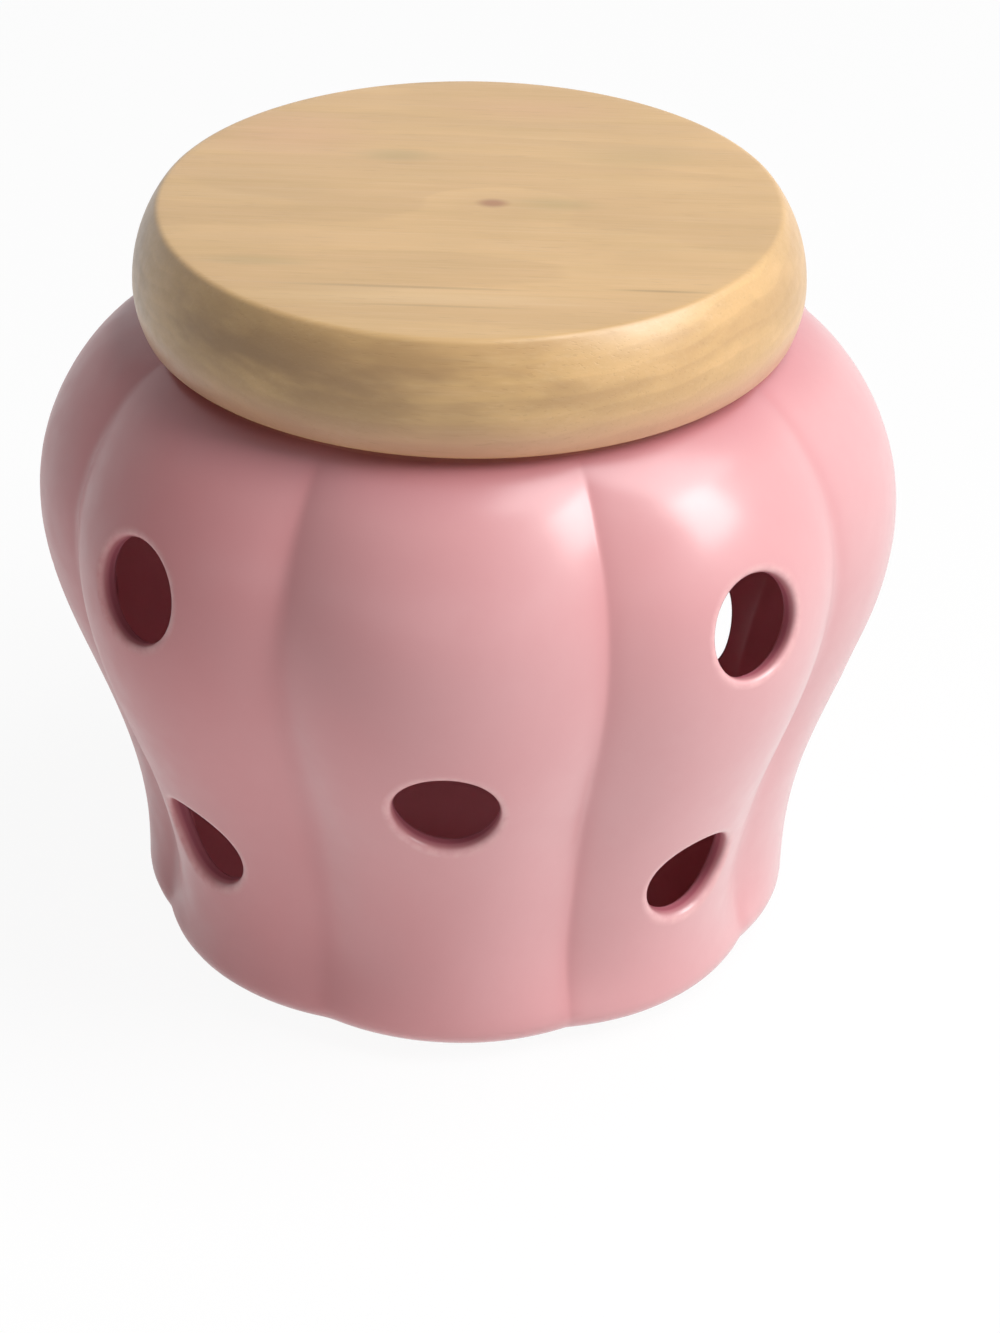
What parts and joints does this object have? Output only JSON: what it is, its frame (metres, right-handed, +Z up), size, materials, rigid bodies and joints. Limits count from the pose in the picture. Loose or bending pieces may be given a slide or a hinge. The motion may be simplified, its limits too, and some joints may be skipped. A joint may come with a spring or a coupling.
{
  "type": "garlic keeper",
  "caption": "Lobed bulb-shaped glazed ceramic garlic keeper with round vents and a turned wooden lid that lifts off.",
  "frame": {"origin": "centre of the foot's resting face, on the jar's axis", "axes": "+Z up along the jar's axis; -Y through the crest of a lobe with one vent, the front"},
  "size_m": [0.1258, 0.1258, 0.115],
  "materials": {
    "glaze": "gloss",
    "wood": "satin",
    "silicone": "matte"
  },
  "bodies": {
    "jar": {"jar": "glaze"},
    "seal_ring": {"seal_ring": "silicone"},
    "lid": {"lid": "wood"}
  },
  "joints": [
    {"name": "lid_lift", "type": "slide", "parent": "jar", "child": "seal_ring", "axis": [0, 0, 1], "range_m": [0, 0.06]},
    {"name": "lid_turn", "type": "hinge", "parent": "seal_ring", "child": "lid", "pos_m": [0, 0, 0.0985], "axis": [0, 0, 1], "continuous": true}
  ]
}
